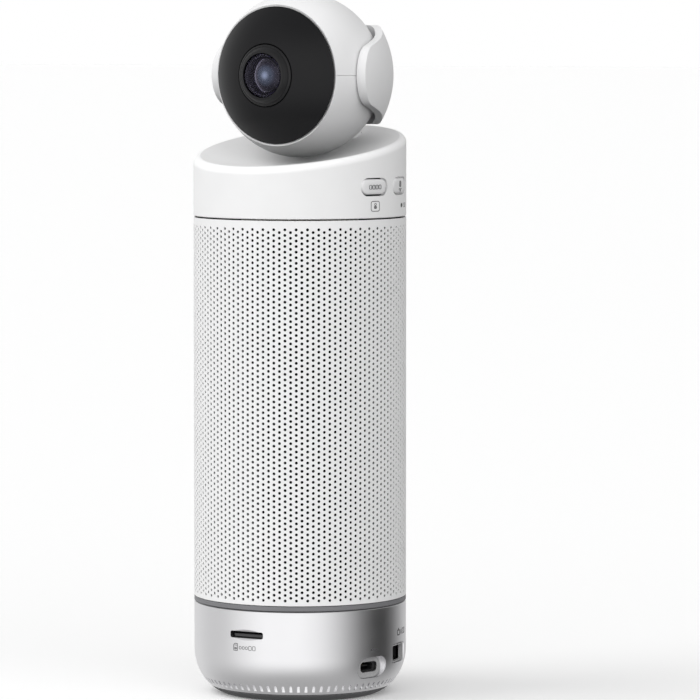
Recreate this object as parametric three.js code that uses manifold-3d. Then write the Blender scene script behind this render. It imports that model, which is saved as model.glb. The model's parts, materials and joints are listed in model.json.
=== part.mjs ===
// A pan-tilt conference camera: a ball camera held in a yoke on a slanted cap, which turns on a
// loudspeaker body with a round aluminium base. Millimetres, +Z up, the lens looks along -Y, and the
// origin is the middle of the base's underside. An azimuth is measured from the front (-Y) towards +X.
import * as THREE from "three";
import { mergeVertices } from "three/addons/utils/BufferGeometryUtils.js";
import Module from "manifold-3d";

const wasm = await Module();
wasm.setup();

// ---- driving dimensions ----
const GAP = 0.3; // between neighbouring pieces
const BODY_R = 45;
const WALL = 2.4;
const SHELL_SEGMENTS = 36;
const INNER_SEGMENTS = 20;
const SMALL_SEGMENTS = 10;

const FOOT = { top: 3, bore: 25 };
const BASE_TOP = 38.9;
const BASE_ROUND = { centreR: 27.7, centreZ: 18.7, r: 17.3, z: 19.6 }; // the base's elliptical lower edge
const RING_TOP = 41.2;
const GRILLE = { bottom: 41.5, top: 201.8, wall: 1 };
const CLOTH_R = [43.2, 43.6];
const PLATE = { r: 34.4, z: [3.3, 5.6] };
const BASE_SCREW_R = 21; // distance of the base screws from the axis
const BOARD = { r: 39.2, z: [10.4, 12] };
const LED_BOARD = { inner: 26, outer: 41, z: [31.6, 33.2] };

const CARD_SLOT = { azimuth: 2.3, z: 28.7, width: 15.8, height: 2.9, corner: 0.9 };
const USB = { azimuth: 75.8, z: 14.1, pocket: [16.6, 9.2], hole: [9.3, 3.6], floor: 41.9, boss: 39.6 };
const NETWORK = { azimuth: 101, z: 18.55, width: 15, height: 12.5, front: 40.8, back: 22 };
const NETWORK_PLUG = { z: 18.3, width: 11.7, height: 6.7, back: 27.5, wallWidth: 12.7, wallHeight: 7.3 };

const ENCLOSURE = { r: 42.4, z: [42, 166], wall: 2.6 };
const BAFFLE_Y = [27, 30];
const DRIVER_Z = 96;
const POST_R = 38; // distance of the deck's posts from the axis
const DECK_Z = [194.5, 197.5];
const HUB = { inner: 11, outer: 14, top: 205 };

const PAN_GEAR = { teeth: 48, module: 1, z: [198.5, 202.3], bore: 17.6 };
const PAN_PINION_TEETH = 12;
const TURNTABLE = { inner: 14.6, outer: 42.2, z: [202.7, 206] };
const CAP_BOTTOM = 202.4;
const RIM_Z = 232; // height of the cap's slanted rim plane on the body's axis
const CAP_SLOPE = 0.1864; // rise of that plane towards the back
const RIM_FILLET = 3;
const DISH = { r: 42, depth: 6.8 };

const BUTTON = { width: 14.8, height: 6.6, z: 215.4, inner: 39.6, outer: 45 };
const MODE_AZIMUTH = 76.9;
const MUTE_AZIMUTH = 102.2;
const SWITCH_R = [34.6, 38.3];

const BALL_Z = 261.65; // height of the tilt axis
const BALL_R = 34.8;
const BALL_WALL = 2.2;
const FACE_PLANE = 18.3; // distance of the black face's edge from the ball's centre
const FACE_DOME_R = 45.7;
const FACE_APEX = 29.1;
const LENS_GROOVE_R = 13.2;
const YOKE_R = [35.6, 39.6];
const YOKE_HALF_HEIGHT = 21;
const YOKE_LOBE = { reach: 9.5, halfHeight: 13.05, leaves: -2.5 }; // an ellipse to that y
const YOKE_EDGE = [[0, 13.4], [2.5, 14.2], [7, 15.5], [11, 16.8], [15, 18.5], [19, 20.2], [23, 21]];
const NECK = { halfWidth: 9, y: [29, 35.8] };

const TILT_GEAR = { teeth: 24, module: 0.6, x: [25.6, 28.2], bore: 3.9 };
const TILT_PINION_TEETH = 12;
const PIN = { r: 3.6, end: 37.9 };
const GEAR_BACKLASH = 0.2; // taken off each tooth's thickness
const CENTRE_SLACK = 0.06; // added to the distance between meshed gears

// ---- materials ----
const finish = (color, roughness, metalness = 0) =>
  new THREE.MeshStandardMaterial({ color, roughness, metalness });
const WHITE = finish(0xefefef, 0.45);
const GRILLE_WHITE = finish(0xececec, 0.5);
const ALUMINIUM = finish(0xb9babc, 0.35, 1);
const RING_GREY = finish(0x9a9aa0, 0.5);
const GLOSS_BLACK = finish(0x19191b, 0.25);
const BLACK = finish(0x141415, 0.6);
const RUBBER = finish(0x4a4a4c, 0.8);
const GLASS = finish(0x1d2230, 0.03);
const STEEL = finish(0x9fa2a6, 0.3, 1);
const BOARD_GREEN = finish(0x1f4a33, 0.55);
const NYLON = finish(0xe4e0d2, 0.5);
const BRASS = finish(0xb48a3c, 0.35, 1);
const CLOTH = finish(0x161617, 0.95);
const PAPER = finish(0x2b2a28, 0.9);

// ---- solids ----
// A closed three.js geometry as a manifold solid whose faces point out.
function solid(geometry) {
  const bare = geometry.clone();
  for (const name of Object.keys(bare.attributes)) if (name !== "position") bare.deleteAttribute(name);
  const merged = mergeVertices(bare, 1e-4);
  const corners = [];
  for (let i = 0; i < merged.index.count; i += 3) {
    const [a, b, c] = [0, 1, 2].map((k) => merged.index.getX(i + k));
    if (a !== b && b !== c && c !== a) corners.push([a, b, c]);
  }
  const vertProperties = merged.attributes.position.array;
  const made = (triangles) => {
    const triVerts = Uint32Array.from(triangles.flat());
    return new wasm.Manifold(new wasm.Mesh({ numProp: 3, vertProperties, triVerts }));
  };
  const outward = made(corners);
  return outward.volume() > 0 ? outward : made(corners.map(([a, b, c]) => [a, c, b]));
}

function geometryOf(body) {
  const mesh = body.getMesh();
  const positions = new Float32Array(mesh.numVert * 3);
  for (let i = 0; i < mesh.numVert; i++) {
    positions.set(mesh.vertProperties.subarray(i * mesh.numProp, i * mesh.numProp + 3), i * 3);
  }
  const geometry = new THREE.BufferGeometry();
  geometry.setAttribute("position", new THREE.BufferAttribute(positions, 3));
  geometry.setIndex(new THREE.BufferAttribute(mesh.triVerts, 1));
  geometry.computeVertexNormals();
  return geometry;
}

const without = (body, ...cutters) => cutters.reduce((left, cutter) => left.subtract(cutter), body);
const joined = (body, ...others) => others.reduce((all, other) => all.add(other), body);

// A profile of [radius, height] points turned about Z, from the axis and back to it or closed.
function turned(profile, segments = SHELL_SEGMENTS) {
  const points = profile.map(([r, z]) => new THREE.Vector2(r, z));
  return new THREE.LatheGeometry(points, segments).rotateX(Math.PI / 2);
}
const closed = (profile) => [...profile, profile[0]];
const disc = (r, [low, high], segments = INNER_SEGMENTS) =>
  turned([[0, low], [r, low], [r, high], [0, high]], segments);
const ring = (inner, outer, [low, high], segments = SHELL_SEGMENTS) =>
  turned(closed([[inner, low], [outer, low], [outer, high], [inner, high]]), segments);
const blockFrom = (low, high) =>
  new THREE.BoxGeometry(...high.map((v, i) => v - low[i])).translate(...high.map((v, i) => (v + low[i]) / 2));

const radians = (degrees) => (degrees * Math.PI) / 180;
const onAzimuth = (azimuth, radius) => [
  radius * Math.sin(radians(azimuth)),
  -radius * Math.cos(radians(azimuth)),
];
const steps = (count, make) => Array.from({ length: count + 1 }, (_, i) => make(i / count));

// Puts a geometry drawn about +Z so that its +Z points along the lens axis (-Y) or back along +Y.
const towardsFront = (geometry, z) => geometry.rotateX(Math.PI / 2).translate(0, 0, z);
const towardsBack = (geometry, z) => geometry.rotateX(-Math.PI / 2).translate(0, 0, z);

// Puts a geometry drawn in X and Y, and extruded along Z, in Y and Z at the tilt axis, along X.
function alongTiltAxis(geometry, side = 1) {
  const across = new THREE.Vector3(0, 1, 0);
  const upwards = new THREE.Vector3(0, 0, side);
  const basis = new THREE.Matrix4().makeBasis(across, upwards, new THREE.Vector3(side, 0, 0));
  return geometry.applyMatrix4(basis.setPosition(0, 0, BALL_Z));
}

// Turns a geometry drawn in X and Y, and extruded along Z, so that it faces out at an azimuth.
function facing(geometry, azimuth, z) {
  const [outX, outY] = onAzimuth(azimuth, 1);
  const across = new THREE.Vector3(-outY, outX, 0);
  const out = new THREE.Vector3(outX, outY, 0);
  const basis = new THREE.Matrix4().makeBasis(across, new THREE.Vector3(0, 0, 1), out);
  return geometry.applyMatrix4(basis.setPosition(0, 0, z));
}

function extruded(shape, [from, to], curveSegments = 4) {
  const options = { depth: to - from, bevelEnabled: false, curveSegments };
  return new THREE.ExtrudeGeometry(shape, options).translate(0, 0, from);
}

// A rectangle with rounded corners; with the corner left out, its short ends are half circles.
function roundedRectangle(width, height, corner = Math.min(width, height) / 2 - 0.01) {
  const [x, y] = [width / 2 - corner, height / 2 - corner];
  const shape = new THREE.Shape();
  shape.absarc(x, -y, corner, -Math.PI / 2, 0);
  shape.absarc(x, y, corner, 0, Math.PI / 2);
  shape.absarc(-x, y, corner, Math.PI / 2, Math.PI);
  shape.absarc(-x, -y, corner, Math.PI, 1.5 * Math.PI);
  return shape;
}

// A screw along Z with its head below the shank, or above it when it is driven downwards.
function screw([x, y], { headR, shankR, head, shank }) {
  const [low, high] = [Math.min(...head, ...shank), Math.max(...head, ...shank)];
  const headFirst = head[0] === low;
  const profile = headFirst
    ? [[0, low], [headR, low], [headR, head[1]], [shankR, head[1]], [shankR, high], [0, high]]
    : [[0, low], [shankR, low], [shankR, head[0]], [headR, head[0]], [headR, high], [0, high]];
  const recess = disc(headR * 0.45, headFirst ? [low - 1, low + 0.6] : [high - 0.6, high + 1], 6);
  return without(solid(turned(profile, SMALL_SEGMENTS)), solid(recess)).translate([x, y, 0]);
}

// ---- gears ----
// The outline of an involute spur gear with a tooth, or a gap, centred on the direction phase.
function gearShape({ teeth, module, bore = 0 }, phase, centredOnGap = false) {
  const pressure = radians(20);
  const involute = (angle) => Math.tan(angle) - angle;
  const pitch = (teeth * module) / 2;
  const base = pitch * Math.cos(pressure);
  const [root, tip] = [pitch - module, pitch + 0.75 * module];
  const halfAtPitch = (Math.PI * module / 2 - GEAR_BACKLASH) / 2 / pitch;
  const halfAngle = (r) => halfAtPitch + involute(pressure) - involute(Math.acos(Math.min(1, base / r)));
  const flank = root > base ? [root, pitch, tip] : [root, base + 0.01, pitch, tip];
  const points = [];
  for (let tooth = 0; tooth < teeth; tooth++) {
    const middle = phase + ((tooth + (centredOnGap ? 0.5 : 0)) * 2 * Math.PI) / teeth;
    const at = (r, side) => {
      const angle = middle + side * halfAngle(r);
      return new THREE.Vector2(r * Math.cos(angle), r * Math.sin(angle));
    };
    points.push(...flank.map((r) => at(r, -1)), ...flank.toReversed().map((r) => at(r, 1)));
  }
  const shape = new THREE.Shape(points);
  if (bore) shape.holes.push(new THREE.Path().absarc(0, 0, bore, 0, 2 * Math.PI, true));
  return shape;
}
const gearDistance = (gear, pinionTeeth) => ((gear.teeth + pinionTeeth) * gear.module) / 2 + CENTRE_SLACK;

// ---- assembly ----
const assembly = new THREE.Group();
assembly.name = "ptz_camera";
function add(name, body, material) {
  const mesh = new THREE.Mesh(geometryOf(body), material.clone());
  mesh.name = name;
  assembly.add(mesh);
}

// ---- base ----
const baseRadius = (z, inset = 0) => {
  const drop = Math.max(0, BASE_ROUND.centreZ - z) / (BASE_ROUND.z - inset);
  return BASE_ROUND.centreR + (BASE_ROUND.r - inset) * Math.sqrt(1 - drop * drop);
};
const heights = (low, high, count) => steps(count, (t) => low + (high - low) * t);

const footEdge = heights(0, FOOT.top, 3).map((z) => [baseRadius(z), z]);
add("foot_pad", solid(turned(closed([[FOOT.bore, 0], ...footEdge, [FOOT.bore, FOOT.top]]))), RUBBER);

const shellBottom = PLATE.z[0];
const flangeTop = PLATE.z[1] + GAP;
const outerEdge = heights(shellBottom, BASE_ROUND.centreZ, 5).map((z) => [baseRadius(z), z]);
const innerEdge = heights(BASE_ROUND.centreZ, flangeTop, 4).map((z) => [baseRadius(z, WALL), z]);
const shellProfile = closed([
  [PLATE.r + GAP, shellBottom],
  ...outerEdge,
  [BODY_R, BASE_TOP],
  [BODY_R - WALL, BASE_TOP],
  ...innerEdge,
  [PLATE.r + GAP, flangeTop],
]);
const pocket = (size, along, corner) => extruded(roundedRectangle(...size, corner), along);
const usbBoss = facing(pocket([USB.pocket[0] + 3, USB.pocket[1] + 3], [USB.boss, 50]), USB.azimuth, USB.z);
const shellCore = solid(turned([[0, shellBottom], ...outerEdge, [BODY_R, BASE_TOP], [0, BASE_TOP]]));
const cardOpening = pocket([CARD_SLOT.width, CARD_SLOT.height], [35, 50], CARD_SLOT.corner);
const baseShell = without(
  joined(solid(turned(shellProfile)), solid(usbBoss).intersect(shellCore)),
  solid(facing(pocket(USB.pocket, [USB.floor, 50]), USB.azimuth, USB.z)),
  solid(facing(pocket(USB.hole, [30, 50]), USB.azimuth, USB.z)),
  solid(facing(cardOpening, CARD_SLOT.azimuth, CARD_SLOT.z)),
  solid(
    facing(
      pocket([NETWORK_PLUG.wallWidth, NETWORK_PLUG.wallHeight], [35, 50], 0.8),
      NETWORK.azimuth,
      NETWORK_PLUG.z,
    ),
  ),
);
add("base_shell", baseShell, ALUMINIUM);

const quarter = [45, 135, 225, 315];
const postAt = (azimuth, distance, r, along) =>
  solid(disc(r, along, SMALL_SEGMENTS)).translate([...onAzimuth(azimuth, distance), 0]);
const plateHoles = quarter.map((azimuth) => postAt(azimuth, BASE_SCREW_R, 1.5, [0, 9]));
add("bottom_plate", without(solid(disc(PLATE.r, PLATE.z, SHELL_SEGMENTS)), ...plateHoles), BLACK);
quarter.forEach((azimuth, i) => {
  const sizes = { headR: 2.6, shankR: 1.2, head: [2, 3], shank: [3, 14] };
  add(`base_screw_${i + 1}`, screw(onAzimuth(azimuth, BASE_SCREW_R), sizes), STEEL);
});

const legHole = (azimuth, r) => postAt(azimuth, BASE_SCREW_R, r, [0, 60]);
const boardHoles = quarter.map((azimuth) => legHole(azimuth, 3.4));
add("main_board", without(solid(disc(BOARD.r, BOARD.z, SHELL_SEGMENTS)), ...boardHoles), BOARD_GREEN);
add("processor", solid(blockFrom([-7, -7, 12.1], [7, 7, 13.7])), BLACK);
const finGaps = [-8, -4, 0, 4, 8].map((x) => solid(blockFrom([x - 1.2, -20, 16.5], [x + 1.2, 20, 30])));
add("heat_sink", without(solid(blockFrom([-11, -11, 14], [11, 11, 23])), ...finGaps), ALUMINIUM);

const usbOuter = pocket([9.2, 3.5], [33, USB.boss - GAP]);
const usbInner = pocket([8.5, 2.8], [34, 50]);
const usbTongue = blockFrom([-3.2, -0.35, 33.5], [3.2, 0.35, USB.boss - 1]);
const usbSocket = joined(without(solid(usbOuter), solid(usbInner)), solid(usbTongue));
add("usb_c_socket", solid(facing(geometryOf(usbSocket), USB.azimuth, USB.z)), STEEL);

const plugSize = [NETWORK_PLUG.width, NETWORK_PLUG.height];
const networkBody = facing(
  pocket([NETWORK.width, NETWORK.height], [NETWORK.back, NETWORK.front], 0.3),
  NETWORK.azimuth,
  NETWORK.z,
);
const networkCavity = facing(pocket(plugSize, [NETWORK_PLUG.back, 50], 0.3), NETWORK.azimuth, NETWORK_PLUG.z);
add("network_socket", without(solid(networkBody), solid(networkCavity)), BLACK);

add("led_board", solid(ring(LED_BOARD.inner, LED_BOARD.outer, LED_BOARD.z)), BOARD_GREEN);
const cardBody = facing(pocket([18, 4.9], [26, 41.2], 0.3), CARD_SLOT.azimuth, 28.85);
const cardCavity = facing(pocket([15.4, 2.4], [28, 50], 0.3), CARD_SLOT.azimuth, CARD_SLOT.z);
add("card_socket", without(solid(cardBody), solid(cardCavity)), BLACK);

const ringProfile = closed([
  [40.6, 34],
  [BODY_R - WALL - GAP, 34],
  [BODY_R - WALL - GAP, BASE_TOP + GAP],
  [BODY_R, BASE_TOP + GAP],
  [BODY_R, RING_TOP],
  [40.6, RING_TOP],
]);
add("light_ring", solid(turned(ringProfile)), RING_GREY);

// ---- loudspeaker body ----
const tube = [GRILLE.bottom, GRILLE.top];
add("grille", solid(ring(BODY_R - GRILLE.wall, BODY_R, tube)), GRILLE_WHITE);
add("acoustic_cloth", solid(ring(...CLOTH_R, [GRILLE.bottom + 0.2, GRILLE.top - 0.2])), CLOTH);

const [floorZ, roofZ] = ENCLOSURE.z;
const inside = ENCLOSURE.r - ENCLOSURE.wall;
const baffles = [
  blockFrom([-40, -BAFFLE_Y[1], floorZ], [40, -BAFFLE_Y[0], roofZ]),
  blockFrom([-40, BAFFLE_Y[0], floorZ], [40, BAFFLE_Y[1], roofZ]),
];
const third = [0, 120, 240];
const posts = third.map((azimuth) => postAt(azimuth, POST_R, 4, [roofZ - 1, DECK_Z[0] - GAP]));
const legs = quarter.map((azimuth) => postAt(azimuth, BASE_SCREW_R, 3, [5.9, floorZ + 1]));
const postHoles = third.map((azimuth) => postAt(azimuth, POST_R, 1.6, [185, 200]));
const legHoles = quarter.map((azimuth) => legHole(azimuth, 1.5).intersect(solid(disc(50, [0, 14.5]))));
const window = pocket([50, 62], [BAFFLE_Y[1], 50], 6);
const driverHole = disc(22.9, [BAFFLE_Y[0] - 5, 50]);
const enclosureOutside = solid(disc(ENCLOSURE.r, ENCLOSURE.z, SHELL_SEGMENTS));
const enclosure = without(
  joined(
    without(enclosureOutside, solid(disc(inside, [floorZ + 2.6, roofZ - 2.6]))),
    ...baffles.map((baffle) => solid(baffle).intersect(enclosureOutside)),
    ...posts,
    ...legs,
  ),
  solid(towardsFront(window.clone(), DRIVER_Z)),
  solid(towardsBack(window.clone(), DRIVER_Z)),
  solid(towardsFront(driverHole.clone(), DRIVER_Z)),
  solid(towardsBack(driverHole.clone(), DRIVER_Z)),
  ...postHoles,
  ...legHoles,
);
add("enclosure", enclosure, BLACK);

const basket = closed([
  [7.5, 9], [14, 9], [14, 12], [22.6, 26], [22.6, 30.3], [24.6, 30.3], [24.6, 32], [20.8, 32], [20.8, 26.5],
  [12.4, 10.8], [7.5, 10.8],
]);
const surround = closed([
  [17.2, 31], [17.6, 32], [18.8, 32.6], [20, 32], [20.5, 31], [20, 31], [18.8, 32], [17.7, 31],
]);
const cone = [
  [0, 27.2], [4, 26.7], [7.6, 25.2], [16.9, 31.4], [16.9, 30.8], [7.9, 24.2], [7.9, 14], [7.4, 14],
  [7.4, 24.4], [4, 26.1], [0, 26.6],
];
const magnet = [[0, -3], [17, -3], [17, 8.7], [7, 8.7], [7, 12], [0, 12]];
const radiator = [
  [0, 30.3], [24.6, 30.3], [24.6, 32], [21, 32], [19.5, 33.2], [18, 32], [17, 31.6], [0, 31.6],
];
add("speaker_basket", solid(towardsFront(turned(basket, INNER_SEGMENTS), DRIVER_Z)), STEEL);
add("speaker_surround", solid(towardsFront(turned(surround, INNER_SEGMENTS), DRIVER_Z)), RUBBER);
add("speaker_cone", solid(towardsFront(turned(cone, INNER_SEGMENTS), DRIVER_Z)), PAPER);
add("speaker_magnet", solid(towardsFront(turned(magnet, INNER_SEGMENTS), DRIVER_Z)), STEEL);
add("passive_radiator", solid(towardsBack(turned(radiator, INNER_SEGMENTS), DRIVER_Z)), RUBBER);

// ---- pan drive ----
const pinionAt = [0, gearDistance(PAN_GEAR, PAN_PINION_TEETH)];
const deckHole = solid(disc(2, [150, 250], SMALL_SEGMENTS)).translate([...pinionAt, 0]);
const deckHub = solid(disc(HUB.outer, [DECK_Z[0], HUB.top], INNER_SEGMENTS));
const bearingDeck = without(
  joined(solid(disc(42.6, DECK_Z, SHELL_SEGMENTS)), deckHub),
  solid(disc(HUB.inner, [150, 250])),
  deckHole,
  ...third.map((azimuth) => postAt(azimuth, POST_R, 1.8, [150, 250])),
);
add("bearing_deck", bearingDeck, BLACK);
third.forEach((azimuth, i) => {
  const sizes = { headR: 2.8, shankR: 1.3, head: [197.8, 199.8], shank: [186, 197.8] };
  add(`deck_screw_${i + 1}`, screw(onAzimuth(azimuth, POST_R), sizes), STEEL);
});
const panBearing = ring(HUB.outer + GAP, PAN_GEAR.bore - GAP, [197.9, 202.3], INNER_SEGMENTS);
add("pan_bearing", solid(panBearing), STEEL);
const panMotor = without(solid(disc(9.5, [172, 194.2])), solid(disc(1.8, [188, 200], SMALL_SEGMENTS)));
add("pan_motor", panMotor.translate([...pinionAt, 0]), STEEL);
const panGear = extruded(gearShape(PAN_GEAR, Math.PI / 2), PAN_GEAR.z, 12);
add("pan_gear", solid(panGear), NYLON);
const pinionSizes = { teeth: PAN_PINION_TEETH, module: PAN_GEAR.module };
const panPinion = joined(
  solid(extruded(gearShape(pinionSizes, -Math.PI / 2, true), [198.7, 202.1])),
  solid(disc(1.5, [188.5, 200], SMALL_SEGMENTS)),
);
add("pan_pinion", panPinion.translate([...pinionAt, 0]), BRASS);

// ---- turning head ----
const neckScrewAt = [[-5, 32.4], [5, 32.4]];
const turntable = without(
  solid(ring(TURNTABLE.inner, TURNTABLE.outer, TURNTABLE.z)),
  ...neckScrewAt.map(([x, y]) => solid(disc(1.6, [200, 210], SMALL_SEGMENTS)).translate([x, y, 0])),
  ...neckScrewAt.map(([x, y]) => solid(disc(3, [200, 204.6], SMALL_SEGMENTS)).translate([x, y, 0])),
);
add("turntable", turntable, BLACK);
neckScrewAt.forEach((at, i) => {
  const sizes = { headR: 2.7, shankR: 1.2, head: [203, 204.3], shank: [204.3, 216] };
  add(`neck_screw_${i + 1}`, screw(at, sizes), STEEL);
});
add("head_board", solid(disc(26, [209, 210.6])), BOARD_GREEN);

const dishZ = (r) => RIM_Z - DISH.depth * (1 - (r / DISH.r) ** 2);
const filletR = BODY_R - RIM_FILLET;
const rimTurn = (t) => [
  filletR + RIM_FILLET * Math.sin((t * Math.PI) / 2),
  RIM_Z - RIM_FILLET * (1 - Math.cos((t * Math.PI) / 2)),
];
const capProfile = [
  ...steps(5, (t) => [filletR * t, dishZ(filletR * t)]).slice(0, -1),
  ...steps(4, rimTurn),
  [BODY_R, CAP_BOTTOM],
  [BODY_R - WALL, CAP_BOTTOM],
  [BODY_R - WALL, RIM_Z - 3.4],
  ...steps(4, (t) => [38 * (1 - t), dishZ(38 * (1 - t)) - 2.6]),
];
const capGeometry = turned(capProfile);
const capPoints = capGeometry.attributes.position;
for (let i = 0; i < capPoints.count; i++) {
  if (capPoints.getZ(i) > 220) capPoints.setZ(i, capPoints.getZ(i) + CAP_SLOPE * capPoints.getY(i));
}
const buttonHole = (azimuth) =>
  facing(pocket([BUTTON.width + 0.7, BUTTON.height + 0.7], [30, 60]), azimuth, BUTTON.z);
const slotHalf = NECK.halfWidth + GAP;
const neckSlot = blockFrom([-slotHalf, NECK.y[0] - GAP, 220], [slotHalf, NECK.y[1] + GAP, 250]);
const topCap = without(
  solid(capGeometry),
  solid(buttonHole(MODE_AZIMUTH)),
  solid(buttonHole(MUTE_AZIMUTH)),
  solid(neckSlot),
);
add("top_cap", topCap, WHITE);

const buttonFace = solid(disc(BUTTON.outer, [200, 230], 72));
for (const [name, azimuth] of [["mode", MODE_AZIMUTH], ["mute", MUTE_AZIMUTH]]) {
  const blank = facing(pocket([BUTTON.width, BUTTON.height], [BUTTON.inner, 60]), azimuth, BUTTON.z);
  add(`${name}_button`, solid(blank).intersect(buttonFace), WHITE);
  add(`${name}_switch`, solid(facing(pocket([6, 6], SWITCH_R, 0.4), azimuth, BUTTON.z)), BLACK);
}
const betweenButtons = (MODE_AZIMUTH + MUTE_AZIMUTH) / 2;
const buttonBoard = facing(pocket([30, 12], [30.6, 32.2], 0.5), betweenButtons, BUTTON.z + 0.5);
add("button_board", solid(buttonBoard), BOARD_GREEN);

// ---- yoke ----
const arc = (radius, from, to, count) =>
  steps(count, (t) => {
    const angle = from + (to - from) * t;
    return [radius * Math.cos(angle), radius * Math.sin(angle)];
  });
const ballPoint = ([r, z]) => [r, BALL_Z + z];
const bandReach = (radius) => Math.asin((YOKE_HALF_HEIGHT + 1) / radius);
const bandProfile = closed([
  ...arc(YOKE_R[1], -bandReach(YOKE_R[1]), bandReach(YOKE_R[1]), 6),
  ...arc(YOKE_R[0], bandReach(YOKE_R[0]), -bandReach(YOKE_R[0]), 5),
].map(ballPoint));
const leaves = Math.acos(YOKE_LOBE.leaves / YOKE_LOBE.reach);
const lobeEdge = steps(12, (t) => {
  const angle = leaves + (2 * Math.PI - 2 * leaves) * t;
  return [YOKE_LOBE.reach * Math.cos(angle), YOKE_LOBE.halfHeight * Math.sin(angle)];
});
const topEdge = [...YOKE_EDGE, [60, YOKE_HALF_HEIGHT]];
const bottomEdge = topEdge.map(([y, z]) => [y, -z]);
const sideOutline = [...topEdge.toReversed(), ...lobeEdge, ...bottomEdge];
const sideShape = new THREE.Shape(sideOutline.map(([y, z]) => new THREE.Vector2(y, z)));
const band = solid(turned(bandProfile)).intersect(solid(alongTiltAxis(extruded(sideShape, [-60, 60]))));
const neckBottom = TURNTABLE.z[1] + GAP;
const neck = without(
  solid(blockFrom([-NECK.halfWidth, NECK.y[0], neckBottom], [NECK.halfWidth, NECK.y[1], BALL_Z - 14])),
  solid(new THREE.SphereGeometry(YOKE_R[0] + 0.2, 32, 24).translate(0, 0, BALL_Z)),
  ...neckScrewAt.map(([x, y]) => solid(disc(1.5, [200, 216.5], SMALL_SEGMENTS)).translate([x, y, 0])),
);
const pinHole = (side) => alongTiltAxis(disc(PIN.r + GAP, [30, PIN.end + GAP]), side);
add("yoke", without(joined(band, neck), solid(pinHole(1)), solid(pinHole(-1))), WHITE);
add("trunnion_right", solid(alongTiltAxis(disc(PIN.r, [TILT_GEAR.x[0] - 0.4, PIN.end]), 1)), STEEL);
add("trunnion_left", solid(alongTiltAxis(disc(PIN.r, [28.6, PIN.end]), -1)), STEEL);
const tiltGear = extruded(gearShape(TILT_GEAR, 0), TILT_GEAR.x, 8);
add("tilt_gear", solid(alongTiltAxis(tiltGear)), NYLON);

// ---- tilting ball ----
const tiltPinionSizes = { teeth: TILT_PINION_TEETH, module: TILT_GEAR.module };
const tiltPinionAt = [0, gearDistance(TILT_GEAR, TILT_PINION_TEETH), 0];
const tiltPinion = joined(
  solid(alongTiltAxis(extruded(gearShape(tiltPinionSizes, Math.PI, true), [25.8, 28]))),
  solid(alongTiltAxis(disc(0.9, [18, 26], SMALL_SEGMENTS))),
);
add("tilt_pinion", tiltPinion.translate(tiltPinionAt), BRASS);
const tiltMotor = without(
  solid(alongTiltAxis(disc(5.5, [3, 25]))),
  solid(alongTiltAxis(disc(1.2, [17.5, 30], SMALL_SEGMENTS))),
);
add("tilt_motor", tiltMotor.translate(tiltPinionAt), STEEL);

const bushHole = (side) => solid(alongTiltAxis(disc(6.6, [25, 40]), side));
const frontCut = solid(blockFrom([-50, -50, BALL_Z - 50], [50, -FACE_PLANE, BALL_Z + 50]));
const seam = GAP / 2;
function halfShell(side) {
  const outer = arc(BALL_R, Math.asin(seam / BALL_R), Math.PI / 2, 8);
  const inner = arc(BALL_R - BALL_WALL, Math.PI / 2, Math.asin(seam / (BALL_R - BALL_WALL)), 6);
  const profile = closed([...outer.slice(0, -1), [0, BALL_R], [0, BALL_R - BALL_WALL], ...inner.slice(1)]);
  const shell = solid(turned(profile.map(([r, z]) => [r, BALL_Z + side * z])));
  return without(shell, frontCut, bushHole(1), bushHole(-1));
}
add("shell_upper", halfShell(1), WHITE);
add("shell_lower", halfShell(-1), WHITE);

const domeCentre = FACE_APEX - FACE_DOME_R;
const domeZ = (r, inset = 0) => domeCentre + Math.sqrt((FACE_DOME_R - inset) ** 2 - r * r);
const faceBack = FACE_PLANE + GAP;
const faceR = Math.sqrt(FACE_DOME_R ** 2 - (faceBack - domeCentre) ** 2);
const faceProfile = closed([
  ...steps(5, (t) => faceR + (LENS_GROOVE_R - faceR) * t).map((r) => [r, domeZ(r)]),
  ...steps(3, (t) => LENS_GROOVE_R + (faceR - 2.6 - LENS_GROOVE_R) * t).map((r) => [r, domeZ(r, 2)]),
].map(([r, z]) => [r, Math.max(z, faceBack)]));
add("face_cover", solid(towardsFront(turned(faceProfile), BALL_Z)), GLOSS_BLACK);

const bezel = closed([[9.3, 25], [12.9, 25], [12.9, 27.2], [12.2, 27.9], [10.1, 29.3], [9.3, 29.4]]);
const frontLens = [
  [0, 30.5], [3, 30.2], [6, 29.2], [8, 27.8], [9, 27.8], [9, 28.8], [7.8, 29.9], [6, 30.9], [3.5, 31.6],
  [0, 31.8],
];
const barrel = closed([
  [9.4, 6], [11.5, 6], [11.5, 24.6], [9.2, 24.6], [9.2, 27.3], [8.6, 27.3], [5.7, 26.4], [5.7, 26.1],
  [8.4, 26.1], [8.4, 20], [9.4, 20],
]);
const rearLens = [
  [0, 22.5], [4, 22.8], [8.3, 23.8], [8.3, 26], [5.6, 26], [4.5, 26.6], [2.5, 27.2], [0, 27.4],
];
add("lens_bezel", solid(towardsFront(turned(bezel, 28), BALL_Z)), BLACK);
add("front_lens", solid(towardsFront(turned(frontLens, 28), BALL_Z)), GLASS);
add("lens_barrel", solid(towardsFront(turned(barrel, INNER_SEGMENTS), BALL_Z)), BLACK);
add("rear_lens", solid(towardsFront(turned(rearLens, INNER_SEGMENTS), BALL_Z)), GLASS);
add("lens_mount", solid(towardsFront(ring(11.8, 28, [13, 15], INNER_SEGMENTS), BALL_Z)), BLACK);
add("sensor_board", solid(towardsFront(pocket([26, 26], [2.2, 3.8], 1.5), BALL_Z)), BOARD_GREEN);
add("image_sensor", solid(towardsFront(pocket([10, 8], [4.1, 5.3], 0.2), BALL_Z)), BLACK);
add("bush_right", solid(alongTiltAxis(ring(PIN.r + GAP, 6.3, [28.9, 33.9], INNER_SEGMENTS), 1)), NYLON);
add("bush_left", solid(alongTiltAxis(ring(PIN.r + GAP, 6.3, [28.9, 33.9], INNER_SEGMENTS), -1)), NYLON);

export default assembly;
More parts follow.
